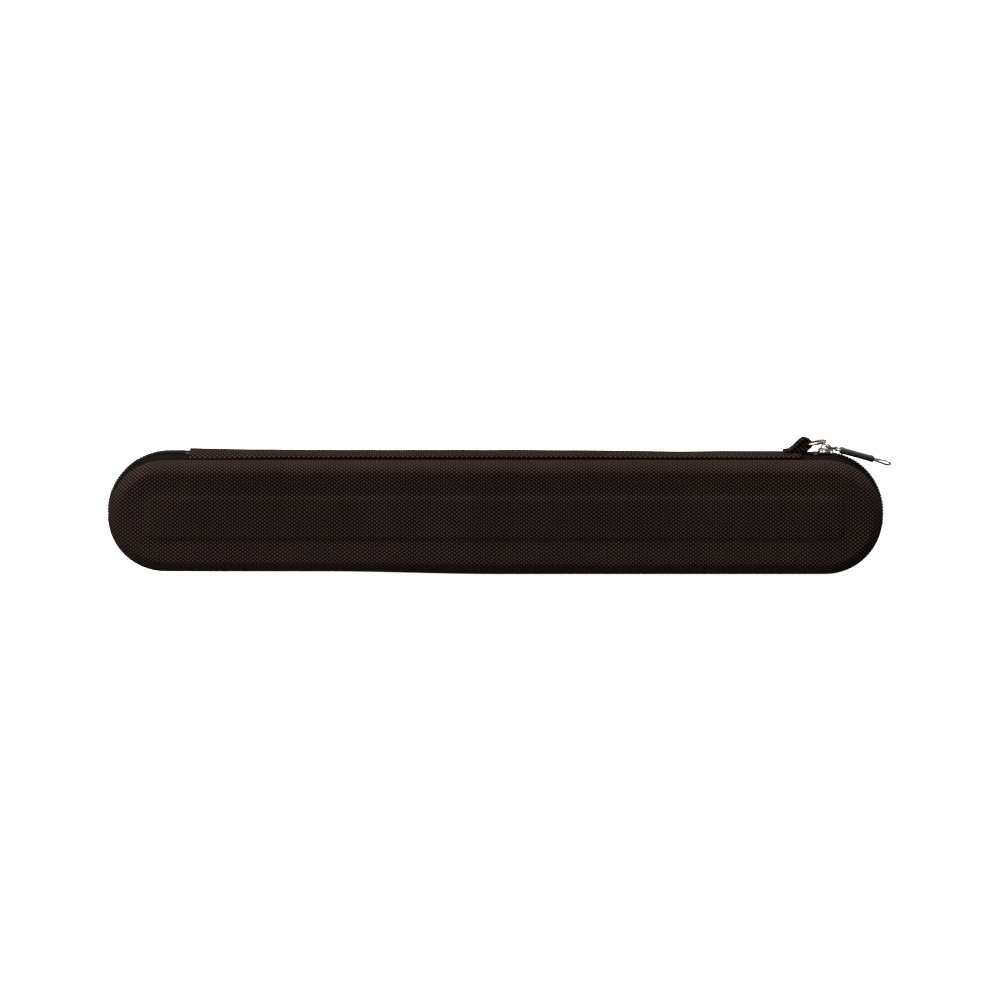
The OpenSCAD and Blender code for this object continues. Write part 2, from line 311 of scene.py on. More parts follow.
def nylon(name):
    """Black nylon monofilament, matt from use."""
    paint = Paint(name, Specular_IOR_Level=0.02)
    rub = paint.noise(400.0, 3.0)
    colour = paint.blend(rub, (0.002, 0.0018, 0.0017), (0.010, 0.009, 0.0085))
    return paint.finish(colour, roughness=0.45 + rub * 0.25, height=rub, depth=0.03 * MM)


def thread(name, colour):
    """Twisted sewing thread."""
    paint = Paint(name, Specular_IOR_Level=0.05)
    twist = paint.node("TexWave", {"bands_direction": "DIAGONAL"},
                       {"Vector": paint.place(), "Scale": 900.0})
    dark = tuple(c * 0.5 for c in colour)
    return paint.finish(paint.blend(twist, dark, colour), roughness=0.5 + twist * 0.2,
                        height=twist, depth=0.05 * MM)


def plated(name, colour, rough, dull=0.5):
    """Plated steel with fine scratches and dulled hollows, darker at a glancing angle."""
    paint = Paint(name, Specular_Tint=(0.1, 0.1, 0.1, 1))
    scratches = paint.node("TexNoise", None, {
        "Vector": paint.node("Mapping", None, {"Vector": paint.place(), "Scale": (220, 3800, 900)}),
        "Scale": 1.0, "Detail": 3.0})
    tarnish = paint.noise(320.0, 4.0, 0.6)
    mask = paint.ramp(tarnish, 0.45, 0.75)
    worn = tuple(c * dull for c in colour)
    return paint.finish(paint.blend(mask, colour, worn), metallic=1 - mask * 0.15,
                        roughness=rough + scratches * 0.16 + mask * 0.15,
                        height=scratches, depth=0.01 * MM)


def rubber(name):
    """Moulded satin rubber with a fine sparked texture."""
    paint = Paint(name, Specular_IOR_Level=0.06)
    grain = paint.noise(2200.0, 3.0, 0.6)
    dust = paint.ramp(paint.noise(160.0, 4.0, 0.6), 0.45, 0.75)
    colour = paint.blend(dust * 0.6, (0.003, 0.003, 0.003), (0.011, 0.0105, 0.010))
    return paint.finish(colour, roughness=0.36 + grain * 0.22 + dust * 0.1, height=grain, depth=0.04 * MM)


def net(name):
    """Hexagonal mesh fabric: yarn round open holes."""
    paint = Paint(name, Sheen_Weight=0.2)
    u, v = paint.uv()
    a, b = u / 2.2, v / 1.9
    fa = paint.fract(a + paint.floor(b) * 0.5) - 0.5
    fb = paint.fract(b) - 0.5
    hole = paint.ramp((fa * fa + fb * fb) ** 0.5, 0.27, 0.36)
    fibre = paint.noise(2000.0, 2.0)
    colour = paint.blend(fibre, (0.012, 0.012, 0.013), (0.05, 0.05, 0.055))
    return paint.finish(colour, roughness=0.5 + fibre * 0.3, height=fibre, depth=0.1 * MM, alpha=hole)


def floor_paper(name):
    paint = Paint(name, Specular_IOR_Level=0.1, Emission_Strength=0.75)
    paint.shader.inputs["Emission Color"].default_value = (1, 1, 1, 1)
    grain = paint.noise(60.0, 3.0)
    return paint.finish(paint.blend(grain, (0.90, 0.90, 0.90), (0.93, 0.93, 0.93)),
                        roughness=0.85 + grain * 0.1)


# The shells' cloth carries painted shade on its walls, and the spine's cloth carries it along its edges.
COVER_CLOTH = woven_cover("woven_cover", shaded_walls=True)
SPINE_CLOTH = woven_cover("woven_spine", 0.85, shaded_seams=True)
# The outer fold strips use the cover's cloth at half tone: painted shade for the dark groove between the
# shells and the spine.
SHADED_FOLD_CLOTH = woven_cover("woven_fold_painted_shade", 0.5)
TAB_CLOTH = woven_cover("woven_tab", 0.6)
LINING = knit_lining("knit_lining")
FOAM = foam("eva_foam")
BINDING = ribbed_tape("binding_tape", 0.8, (0.006, 0.006, 0.006), (0.040, 0.040, 0.042))
ZIP_TAPE = ribbed_tape("zip_tape", 0.62, (0.0006, 0.0005, 0.0005), (0.0052, 0.0044, 0.0040), shine=0.0)
ELASTIC = ribbed_tape("elastic", 1.1, (0.006, 0.006, 0.007), (0.05, 0.05, 0.055), across=True)
COIL = nylon("zip_coil")
CORD = thread("coil_cord", (0.004, 0.004, 0.004))
THREAD = thread("sewing_thread", (0.010, 0.009, 0.009))
LINING_THREAD = thread("lining_thread", (0.10, 0.10, 0.11))
STEEL = plated("steel", (0.18, 0.163, 0.142), 0.14)
GUNMETAL = plated("gunmetal", (0.055, 0.038, 0.03), 0.26, 0.6)
BLACKENED = plated("blackened_metal", (0.035, 0.033, 0.032), 0.4, 0.6)
RUBBER = rubber("sleeve_rubber")
NET = net("mesh")


# ---- Mesh helpers ----

def make_piece(name, verts, faces, uvs, material, body, slot, replaces=(), weld=False):
    """A smooth piece from vertices, faces and one map point per face corner.

    It rides on its body, or on none where two bodies share it.
    """
    mesh = bpy.data.meshes.new(name)
    mesh.from_pydata([tuple(v) for v in verts], [], faces)
    if uvs is not None:
        layer = mesh.uv_layers.new(name="cloth")
        layer.data.foreach_set("uv", np.asarray(uvs, np.float32).ravel())
    mesh.polygons.foreach_set("use_smooth", [True] * len(mesh.polygons))
    piece = bpy.data.objects.new(name, mesh)
    bpy.context.scene.collection.objects.link(piece)
    mesh.materials.append(material)
    if weld:
        work = bmesh.new()
        work.from_mesh(mesh)
        bmesh.ops.remove_doubles(work, verts=work.verts, dist=2e-6)
        bmesh.ops.recalc_face_normals(work, faces=work.faces)
        work.to_mesh(mesh)
        work.free()
    mesh.validate()
    if body:
        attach(piece, body)
    if replaces:
        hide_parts(*replaces)
    return piece


def grid_faces(rows, columns, close_rows, close_columns):
    """Faces over a grid of points, and the grid place of each face corner, before wrapping."""
    faces, corners = [], []
    for i in range(rows if close_rows else rows - 1):
        for j in range(columns if close_columns else columns - 1):
            square = ((i, j), (i + 1, j), (i + 1, j + 1), (i, j + 1))
            faces.append([(a % rows) * columns + b % columns for a, b in square])
            corners += square
    return faces, corners


def grid_piece(name, points, uv, material, body, slot, replaces=(),
               close_rows=False, close_columns=False, caps=False, weld=False):
    """A piece over a grid of points. uv has one more row or column where the grid is closed."""
    rows, columns = points.shape[:2]
    faces, corners = grid_faces(rows, columns, close_rows, close_columns)
    index = np.array(corners)
    uvs = [tuple(p) for p in uv[index[:, 0], index[:, 1]]]
    if caps:
        for row in (0, rows - 1):
            faces.append([row * columns + j for j in range(columns)])
            uvs += [tuple(uv[row, j]) for j in range(columns)]
    verts = points.reshape(-1, 3)
    return make_piece(name, verts, faces, uvs, material, body, slot, replaces, weld or caps)


def smooth(t):
    t = np.clip(t, 0, 1)
    return t * t * (3 - 2 * t)


def settled(x, y, z):
    """Where a point lies on a used case, which isn't quite straight.

    The opening side is pushed in towards the left end, and the lid's rim a little at the left
    end of the spine, where the band bulges instead.
    """
    x, y, z = (np.asarray(v, float) for v in (x, y, z))
    push = 1.8 * MM * smooth(-x / (110 * MM))
    across = (z - MID) / BAND_HALF
    corner = np.exp(-((x + SPINE_END) / (42 * MM)) ** 2)
    dent = 1.3 * MM * corner * smooth(across)
    bulge = 0.9 * MM * corner * np.clip(1 - across ** 2, 0, 1)
    return np.where(y < 0, y * (1 - push / RADIUS), y * (1 + (bulge - dent) / RADIUS))


def route(part=0.0, arc_steps=44, run_steps=120, close=False):
    """Places round the case from the right of the spine to its left: middle, direction, length."""
    right = [(HALF_RUN, math.pi / 2 - t) for t in np.linspace(part, math.pi, arc_steps)]
    lower = [(x, -math.pi / 2) for x in np.linspace(HALF_RUN, -HALF_RUN, run_steps)[1:-1]]
    left = [(-HALF_RUN, -math.pi / 2 - t) for t in np.linspace(0, math.pi - part, arc_steps)]
    upper = [(x, math.pi / 2) for x in np.linspace(-HALF_RUN, HALF_RUN, run_steps)[1:-1]]
    return right + lower + left + (upper if close else [])


def end_route(start_x, side, arc_steps=12, run_steps=8):
    """Places from near the spine's end to where the zip parts, at the right (1) or left (-1)."""
    run = [(side * x, math.pi / 2) for x in np.linspace(start_x, HALF_RUN, run_steps)]
    turn = [(side * HALF_RUN, math.pi / 2 - side * t)
            for t in np.linspace(0, PART_ANGLE, arc_steps)[1:]]
    return run + turn


def spot(middle, angle, r, z, ahead=0.0):
    """The point at distance r from the case's middle line, moved ahead along the route."""
    x = middle + r * math.cos(angle) + ahead * math.sin(angle)
    y = r * math.sin(angle) - ahead * math.cos(angle)
    return x, float(settled(x, y, z)), z


def lengths(places, r):
    """Running length along a route at distance r."""
    points = np.array([spot(m, a, r, 0) for m, a in places])
    return np.concatenate([[0], np.cumsum(np.linalg.norm(np.diff(points, axis=0), axis=1))])


def place_at(places, along, s):
    """The place at a running length s, between two of the route's places."""
    i = max(0, min(int(np.searchsorted(along, s)) - 1, len(places) - 2))
    t = (s - along[i]) / (along[i + 1] - along[i])
    return [first * (1 - t) + second * t for first, second in zip(places[i], places[i + 1])]


def sweep(name, places, section, material, body, slot, replaces=(), close=False, lid=False):
    """Sweeps a closed section of (r, z) along a route. On the lid the section is turned over."""
    section = [(r, HEIGHT - z) for r, z in section] if lid else section
    points = np.array([[spot(m, a, r, z) for r, z in section] for m, a in places])
    girth = lengths_of(section + section[:1])
    along = lengths(places + (places[:1] if close else []), RADIUS)
    uv = np.array([[(s / MM, g / MM) for g in girth] for s in along])
    return grid_piece(name, points, uv, material, body, slot, replaces,
                      close_rows=close, close_columns=True, caps=not close)


def lengths_of(points):
    steps = np.linalg.norm(np.diff(np.array(points, float), axis=0), axis=1)
    return np.concatenate([[0], np.cumsum(steps)])


def tube(path, section, up, closed=False):
    """Vertices, faces and map of a section swept along a flat path whose plane is square to up."""
    path = [Vector(p) for p in path]
    rows = []
    for i, p in enumerate(path):
        before = path[i - 1] if closed or i else p
        after = path[(i + 1) % len(path)] if closed or i < len(path) - 1 else p
        forward = (after - before).normalized()
        side = up.cross(forward).normalized()
        rows.append([p + side * a + up * b for a, b in section])
    points = np.array([[tuple(v) for v in row] for row in rows])
    faces, corners = grid_faces(len(path), len(section), closed, True)
    if not closed:
        faces += [list(range(len(section))),
                  [(len(path) - 1) * len(section) + j for j in range(len(section))]]
        corners += [(0, j) for j in range(len(section))]
        corners += [(len(path) - 1, j) for j in range(len(section))]
    uvs = [(i * 1.0, j * 1.0) for i, j in corners]
    return points.reshape(-1, 3), faces, uvs


def joined(parts):
    """Several (vertices, faces, map) as one."""
    verts, faces, uvs, base = [], [], [], 0
    for v, f, m in parts:
        verts.append(np.asarray(v))
        faces += [[base + i for i in face] for face in f]
        uvs += list(m)
        base += len(v)
    return np.concatenate(verts), faces, uvs


def circle(radius, sides=12):
    return [(radius * math.cos(2 * math.pi * k / sides), radius * math.sin(2 * math.pi * k / sides))
            for k in range(sides)]


def rounded(width, thickness, corner, steps=3):
    """A rounded rectangle, centred, as a list of points."""
    points = []
    for k, (sx, sy) in enumerate(((1, 1), (-1, 1), (-1, -1), (1, -1))):
        for s in range(steps + 1):
            a = math.pi / 2 * (k + s / steps)
            points.append((sx * (width / 2 - corner) + corner * math.cos(a),
                           sy * (thickness / 2 - corner) + corner * math.sin(a)))
    return points


def bent(corners, radius, steps=6, closed=False):
    """A path through corners, each rounded off with an arc."""
    corners = [Vector(c) for c in corners]
    path = [] if closed else [corners[0]]
    for i in range(len(corners)) if closed else range(1, len(corners) - 1):
        here, before, after = corners[i], corners[i - 1], corners[(i + 1) % len(corners)]
        r = min(radius, (before - here).length * 0.49, (after - here).length * 0.49)
        a = here + (before - here).normalized() * r
        b = here + (after - here).normalized() * r
        path += [a.lerp(here, t).lerp(here.lerp(b, t), t) for t in np.linspace(0, 1, steps)]
    return path if closed else path + [corners[-1]]


# ---- Shells ----

def relief(x, y):
    """Depth of the moulded face below its highest level: crease round the panel, dished ring."""
    corner = 7 * MM
    qx = np.abs(x) - (PANEL_REACH - corner)
    qy = np.abs(y) - (PANEL_HALF - corner)
    outside = np.hypot(np.maximum(qx, 0), np.maximum(qy, 0))
    gap = outside + np.minimum(np.maximum(qx, qy), 0) - corner
    ring = np.clip(gap / (RADIUS - SHOULDER - PANEL_HALF), 0, 1)
    dished = CREASE * (1 - ring * ring * (3 - 2 * ring))
    inside = CREASE * np.exp(-(gap / (2.6 * MM)) ** 2)
    return np.where(gap > 0, dished, np.maximum(inside, 0.12 * MM))


def shell_section(inset, rim, face_steps=34):
    """From the middle of the face to the rim, moved inwards: (r, z) with the face at z = inset."""
    crest = RADIUS - SHOULDER
    flat = [(r, inset) for r in np.linspace(0, crest, face_steps)]
    turn = [(crest + (SHOULDER - inset) * math.sin(a) ** SLACK,
             SHOULDER - (SHOULDER - inset) * math.cos(a) ** SLACK)
            for a in np.linspace(0, math.pi / 2, 14)[1:-1]] + [(RADIUS - inset, SHOULDER)]
    lean = UNDERCUT * (1 - inset / WALL)
    wall = [(RADIUS - inset - lean * (z - SHOULDER) / (rim - SHOULDER), z)
            for z in np.linspace(SHOULDER, rim, 8)[1:]]
    return flat + turn + wall


def shell_layer(name, outer, inner, rim, material, body, slot, node, lid, soft=0.0):
    """One layer of a shell, from its outer face to its inner, with the moulded relief on both."""
    edge = (inner - outer) * 0.75
    outside = shell_section(outer, rim - edge)
    inside = shell_section(inner, rim - edge * 0.3)
    lip = [(outside[-1][0] - edge * (1 - math.cos(a)), rim - edge * (1 - math.sin(a)))
           for a in (0.5, 1.0, math.pi / 2)]
    section = outside + lip + inside[::-1]
    places = route(close=True)
    girth = lengths_of(section)
    half = len(outside) + 2
    girth = np.where(np.arange(len(section)) < half, girth, 2 * girth[half] - girth)
    points, uv = [], []
    for m, a in places + places[:1]:
        points.append([spot(m, a, r, z) for r, z in section])
        uv.append([((m + g * math.cos(a)) / MM, g * math.sin(a) / MM) for g in girth])
    points, uv = np.array(points[:-1]), np.array(uv)
    depth = relief(points[..., 0], points[..., 1])
    face = np.clip((SHOULDER - points[..., 2]) / (SHOULDER - inner), 0, 1)
    points[..., 2] += depth * face
    for row in points:
        for p in row:
            if p[2] < BASE_RIM - 3 * MM:
                lump = noise.noise(Vector((p[0] * 22, p[1] * 40, p[2] * 40)))
                p[2] += (0.12 * MM + soft) * lump
    points[..., 2] = np.maximum(points[..., 2], 0.02 * MM)
    if lid:
        points[..., 2] = HEIGHT - points[..., 2]
    return grid_piece(name, points, uv, material, body, slot, (node,), close_rows=True, weld=True)


def stitches(name, places, r, z, outward, length, gap, wire, material, body, slot):
    """A row of separate stitches along a route, lying on a surface."""
    along = lengths(places, r)
    parts = []
    count = int(along[-1] / (length + gap))
    for k in range(count):
        s = (k + 0.5) * along[-1] / count
        m, a = place_at(places, along, s)
        path = [spot(m, a, r + outward[0] * h, z + outward[1] * h, d) for d, h in (
            (-length / 2, -wire), (-length * 0.36, wire * 0.5), (0, wire * 0.8),
            (length * 0.36, wire * 0.5), (length / 2, -wire))]
        parts.append(strand(path, wire, 5))
    return make_piece(name, *joined(parts), material, body, slot)


def strand(path, radius, sides):
    """A thin round strand along any path."""
    path = [Vector(p) for p in path]
    rows = []
    for i, p in enumerate(path):
        forward = (path[min(i + 1, len(path) - 1)] - path[max(i - 1, 0)]).normalized()
        hint = Vector((0, 0, 1)) if abs(forward.z) < 0.9 else Vector((1, 0, 0))
        side = forward.cross(hint).normalized()
        other = forward.cross(side)
        rows += [tuple(p + side * a + other * b) for a, b in circle(radius, sides)]
    faces, corners = grid_faces(len(path), sides, False, True)
    faces += [list(range(sides))[::-1], [(len(path) - 1) * sides + j for j in range(sides)]]
    corners += [(0, j) for j in range(sides)] + [(len(path) - 1, j) for j in range(sides)]
    return np.array(rows), faces, [(i * 1.0, j * 1.0) for i, j in corners]


def shell(body):
    """One shell: woven cover, foam core, lining, and the bound edge with its stitching."""
    lid = body == "lid"
    shell_layer(body + "_woven_cover", 0.0, COVER, BASE_RIM, COVER_CLOTH,
                body, "woven_cover", body + "_cover", lid)
    shell_layer(body + "_knit_lining", WALL - 0.75 * MM, WALL, BASE_RIM, LINING,
                body, "knit_lining", body + "_lining", lid, soft=0.15 * MM)
    shell_layer(body + "_foam_core", COVER + BOND, WALL - 0.85 * MM, BASE_RIM, FOAM,
                body, "eva_foam", body + "_core", lid)
    edge_binding(body, lid)


def edge_binding(body, lid):
    """Bias tape folded over the raw edges inside the rim, and the stitches that hold it."""
    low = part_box("base_binding")[0].z
    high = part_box("base_binding")[1].z
    face, thick = INNER - 0.9 * MM, 0.7 * MM
    section = [(INNER - 0.05 * MM, low + 0.1 * MM), (INNER - 0.4 * MM, low - 0.05 * MM),
               (face - thick * 0.5, low), (face - thick, low + 0.8 * MM),
               (face - thick * 1.15, (low + high) / 2), (face - thick, high - 0.9 * MM),
               (face - thick * 0.6, high - 0.15 * MM), (face, high), (face, low + thick),
               (INNER - 0.05 * MM, low + thick)]
    sweep(body + "_edge_binding", route(close=True), section, BINDING, body, "binding_tape",
          (body + "_binding",), close=True, lid=lid)
    z = low + 2.4 * MM
    stitches(body + "_binding_stitches", route(close=True), face - thick - 0.02 * MM,
             HEIGHT - z if lid else z, (-1, 0), 2.4 * MM, 1.1 * MM, 0.22 * MM,
             LINING_THREAD, body, "binding_tape")


# ---- Zip ----

def tape_section(low, margin):
    """The tape from the rim to the coil, arched outwards; with its sewn margin, or without."""
    edge = MID - COIL_GAP / 2
    bend = edge - COIL_WIDTH - 0.6 * MM
    slope = [(GROOVE + (TAPE_FACE - GROOVE) * math.sin(t * math.pi / 2), low + (bend - low) * t)
             for t in np.linspace(0, 1, 7)]
    outer = slope + [(TAPE_FACE, edge - 0.2 * MM), (TAPE_FACE - 0.2 * MM, edge)]
    inner = [(r - TAPE, max(z, low + TAPE)) for r, z in outer[::-1]]
    if not margin:
        return outer + inner
    foot = BASE_RIM - 8 * MM
    return outer + inner + [(MARGIN_FACE - TAPE, low + TAPE), (MARGIN_FACE - TAPE, foot),
                            (MARGIN_FACE, foot), (MARGIN_FACE, low)]


def coil_turn():
    """One turn of the coil: the wire's path as (ahead, r, z), from the tape's stitching to the head."""
    low, high = TAPE_FACE + 0.45 * MM, COIL_CREST - 0.4 * MM
    root = MID - COIL_GAP / 2 - COIL_WIDTH + 0.5 * MM
    head = MID + 0.75 * MM
    return [(-0.25 * MM, low, root + 0.3 * MM), (-0.1 * MM, high - 0.2 * MM, root),
            (0, high, root + 0.7 * MM), (0, high, head - 1.2 * MM),
            (0, high - 0.1 * MM, head - 0.35 * MM), (0, (low + high) / 2, head),
            (0, low + 0.1 * MM, head - 0.35 * MM), (0.1 * MM, low, head - 1.2 * MM),
            (0.3 * MM, low, root + 1.0 * MM)]


def coil(name, places, body, nodes, lid, skip=0.0):
    """A coil's turns along a route, with the lid's half a half pitch on, so that the two mesh."""
    along = lengths(places, COIL_CREST - 1 * MM)
    parts = []
    count = round((along[-1] - skip) / COIL_PITCH)
    shift = 0.5 if lid else 0.0
    for k in range(count):
        s = skip + (k + 0.25 + shift) * (along[-1] - skip) / count
        m, a = place_at(places, along, s)
        path = [spot(m, a, r, HEIGHT - z if lid else z, d) for d, r, z in coil_turn()]
        parts.append(strand(path, 0.4 * MM, 7))
    make_piece(name, *joined(parts), COIL, body, "zip_coil", nodes)
    middle = COIL_CREST - 1.3 * MM
    foot = MID - COIL_GAP / 2 - COIL_WIDTH + 1.3 * MM
    cord = [(middle + a * 1.5, foot + 0.5 * MM + b) for a, b in circle(0.5 * MM, 8)]
    sweep(name + "_cord", places, cord, CORD, body, "zip_coil", lid=lid)


def zip_halves():
    """The two halves of the zip that part when the case opens."""
    places = route(PART_ANGLE + 0.004, arc_steps=48, run_steps=140)
    for body in ("base", "lid"):
        lid = body == "lid"
        sweep(body + "_tape", places, tape_section(BASE_RIM + 0.05 * MM, True), ZIP_TAPE,
              body, "zip_tape", (body + "_zip_tape",), lid=lid)
        coil(body + "_coil", places, body, (body + "_zip_coil",), lid)
        coil_stitching(body + "_coil_stitching", places, body, lid)


def coil_stitching(name, places, body, lid):
    """The line of chain stitch that ties the coil down to its tape."""
    z = MID - COIL_GAP / 2 - COIL_WIDTH + 1.15 * MM
    stitches(name, places, COIL_CREST - 0.12 * MM, HEIGHT - z if lid else z, (1, 0),
             COIL_PITCH * 0.8, COIL_PITCH * 0.2, 0.16 * MM, THREAD, body, "zip_tape")


def zip_ends():
    """The closed stretches of zip that the spine carries at its two ends."""
    for side, word in ((1, "right"), (-1, "left")):
        places = end_route(SPINE_END + 0.2 * MM, side)
        for lid in (False, True):
            half = "upper" if lid else "lower"
            name = f"{word}_{half}"
            node = (f"{word}_zip_tape",) if not lid else ()
            sweep(name + "_tape", places, tape_section(BASE_RIM + 0.3 * MM, False), ZIP_TAPE,
                  "spine", "zip_tape", node, lid=lid)
            skip = abs(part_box(f"{word}_zip_coil")[0 if side > 0 else 1].x) - SPINE_END
            coil(name + "_coil", places, "spine", (f"{word}_zip_coil",) if not lid else (),
                 lid, skip=skip)
    for node in ("top_stops", "bottom_stop"):
        frame["nodes"][node].data.materials.clear()
        frame["nodes"][node].data.materials.append(BLACKENED)


# ---- Spine ----

def spine_bulge(x):
    """Height of the spine over the shell's wall: full at its left end, flatter to the right."""
    full = 0.3 * MM * float(smooth((70 * MM - x) / (70 * MM)))
    slack = 0.6 * MM * float(smooth((x - 60 * MM) / (50 * MM)))
    hem = 0.3 * MM * math.exp(-((x + SPINE_END) / (7 * MM)) ** 2)
    return SPINE_CREST - RADIUS + full - slack + hem


def spine_layer(name, inset, thick, material, slot, node, trim, ripple):
    """One layer of the spine: an arched strip with the slack ripples of a fabric hinge."""
    half = BAND_HALF - trim
    steps, runs = 16, 150
    edge = [half * (2 * k / steps - 1) for k in range(steps + 1)]
    points, uv = [], []
    for i in range(runs + 1):
        x = -SPINE_END + 2 * SPINE_END * i / runs
        row = []
        for across, back in [(e, 0.0) for e in edge] + [(e, thick) for e in edge[::-1]]:
            crown = 1 - abs(across / BAND_HALF) ** 2.8
            lump = noise.noise(Vector((x * 38, across * 60, 3.1))) * ripple * crown
            y = GROOVE - inset - back + (spine_bulge(x) + RADIUS - GROOVE) * crown + lump
            row.append((x, float(settled(x, y, MID + across)), MID + across))
        points.append(row)
        girth = [(e / MM, 0) for e in edge] + [(e / MM, 0) for e in edge[::-1]]
        uv.append([(x / MM, g[0]) for g in girth] + [(x / MM, girth[0][0])])
    return grid_piece(name, np.array(points), np.array(uv), material, "spine", slot, (node,),
                      close_columns=True, caps=True)


def spine():
    """Woven cover, foam strip and lining, with the strips that bend at the two rims."""
    spine_layer("spine_woven_cover", 0.0, 1.0 * MM, SPINE_CLOTH, "woven_cover", "spine_cover",
                0.3 * MM, 0.35 * MM)
    spine_layer("spine_knit_lining", 3.0 * MM, 0.8 * MM, LINING, "knit_lining", "spine_lining",
                0.3 * MM, 0.2 * MM)
    frame["nodes"]["spine_pad"].data.materials.clear()
    frame["nodes"]["spine_pad"].data.materials.append(FOAM)
    for body in ("base", "lid"):
        # The outer strip's darker cloth is painted shade in the groove under the rim.
        fold_strip(body + "_outer_fold", body, GROOVE - 0.5 * MM, 0.7 * MM, SHADED_FOLD_CLOTH, "woven_cover")
        fold_strip(body + "_inner_fold", body, INNER - 0.75 * MM, 0.6 * MM, LINING, "knit_lining")


def fold_strip(name, body, r, thick, material, slot):
    """Cloth that crosses a fold line, from under the rim to the edge of the spine."""
    lid = body == "lid"
    runs, steps = 100, 10
    low, high = BASE_RIM - 1.6 * MM, BASE_RIM + 2.0 * MM
    points, uv = [], []
    for i in range(runs + 1):
        x = (SPINE_END - 0.6 * MM) * (2 * i / runs - 1)
        row = []
        for back in (0.0, thick):
            heights = np.linspace(low, high, steps)
            for z in heights if not back else heights[::-1]:
                z = HEIGHT - z if lid else z
                row.append((x, float(settled(x, r - back, z)), z))
        points.append(row)
        uv.append([(x / MM, p[2] / MM) for p in row] + [(x / MM, row[0][2] / MM)])
    points, uv = np.array(points), np.array(uv)
    faces, corners = grid_faces(runs + 1, 2 * steps, False, True)
    index = np.array(corners)
    uvs = [tuple(p) for p in uv[index[:, 0], index[:, 1]]]
    for end in (0, runs):
        faces.append([end * 2 * steps + j for j in range(2 * steps)])
        uvs += [tuple(uv[end, j]) for j in range(2 * steps)]
    piece = make_piece(name, points.reshape(-1, 3), faces, uvs, material, None, slot, weld=True)
    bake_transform(piece)


# ---- Ring tab and D-ring ----

def ring_tab():
    """Webbing folded tight round the ring's bar, its two plies sewn down on the end of the spine."""
    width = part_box("ring_tab")[1].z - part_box("ring_tab")[0].z
    corner = Vector((SPINE_END, SPINE_CREST, MID))
    up = Vector((0, 0, 1))
    line = [corner + Vector((x, y, 0)) * MM for x, y in (
        (-11, -0.3), (-7.4, 0.2), (-4.6, 2.0), (0.2, 7.0), (2.0, 7.9), (5.6, 7.0), (7.0, 4.9),
        (6.0, 2.6), (4.4, 1.6), (0.4, 0.9))]
    ply = tube(bent([tuple(p) for p in line], 1.8 * MM, steps=5), rounded(1.3 * MM, width, 0.45 * MM), up)
    fill = [corner + Vector((x, y, 0)) * MM for x, y in (
        (-7.4, -0.6), (-4.2, 1.6), (0.6, 6.5), (2.1, 7.3), (5.2, 6.5), (6.4, 4.8), (5.5, 3.1),
        (4.6, 0.6), (3.0, -0.6))]
    half = width / 2 - 0.7 * MM
    count = len(fill)
    verts = [tuple(p + up * z) for z in (-half, half) for p in fill]
    faces = [[k, (k + 1) % count, count + (k + 1) % count, count + k] for k in range(count)]
    faces += [list(range(count)), [count + k for k in range(count)]]
    verts, faces, _ = joined([ply, (verts, faces, [])])
    uvs = [(verts[i][0] / MM + verts[i][1] / MM, verts[i][2] / MM) for face in faces for i in face]
    make_piece("folded_ring_tab", verts, faces, uvs, TAB_CLOTH, "spine", "woven_cover",
               ("ring_tab",), weld=True)
    bar_tack(width, SPINE_CREST)


def bar_tack(width, top):
    """Dense zigzag stitching that holds the tab's two plies to the spine."""
    parts, rows = [], 26
    for line in (0.0, 2.4 * MM):
        path = []
        for k in range(rows + 1):
            z = MID + (width - 2.4 * MM) * (k / rows - 0.5)
            x = SPINE_END - 7.4 * MM + line + (0.75 * MM if k % 2 else 0)
            path.append((x, top + 0.95 * MM + line * 0.42 + (0.3 * MM if k % 2 else 0), z))
        parts.append(strand(path, 0.26 * MM, 6))
    make_piece("tab_bar_tack", *joined(parts), THREAD, "spine", "woven_cover")


def wire_outline(half, run, corner, end_steps, leg_steps=0):
    """A D of wire, as (along, across): straight bar, two legs and a round end."""
    turn = [(corner * (1 - math.cos(a)), half - corner * (1 - math.sin(a)))
            for a in np.linspace(0, math.pi / 2, 6)[1:]]
    leg = [(run * t, half) for t in np.linspace(0.1, 0.9, leg_steps)]
    end = [(run + half * math.sin(a), half * math.cos(a)) for a in np.linspace(0, math.pi, end_steps)]
    back = [(u, -w) for u, w in (turn + leg)[::-1]]
    return [(0, -half + corner), (0, half - corner)] + turn + leg + end + back


def d_ring():
    """Welded wire ring: straight bar in the tab's eye, arms and round end."""
    wire = 1.0 * MM
    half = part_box("d_ring")[1].z - MID - wire
    reach = 11 * MM
    path = wire_outline(half, reach - half, 1.6 * MM, 28)
    along, up = tilted(-RING_TILT)
    points = [RING_AXIS + along * u + Vector((0, 0, 1)) * w for u, w in path]
    make_piece("d_ring_wire", *tube(points, circle(wire, 16), up, closed=True), STEEL, "ring",
               "steel", ("d_ring",))


def tilted(angle):
    """Directions along and square to a piece that slopes down by an angle, in the plan of the case."""
    along = Vector((math.cos(angle), -math.sin(angle), 0))
    return along, Vector((math.sin(angle), math.cos(angle), 0))


# ---- Slider and puller ----

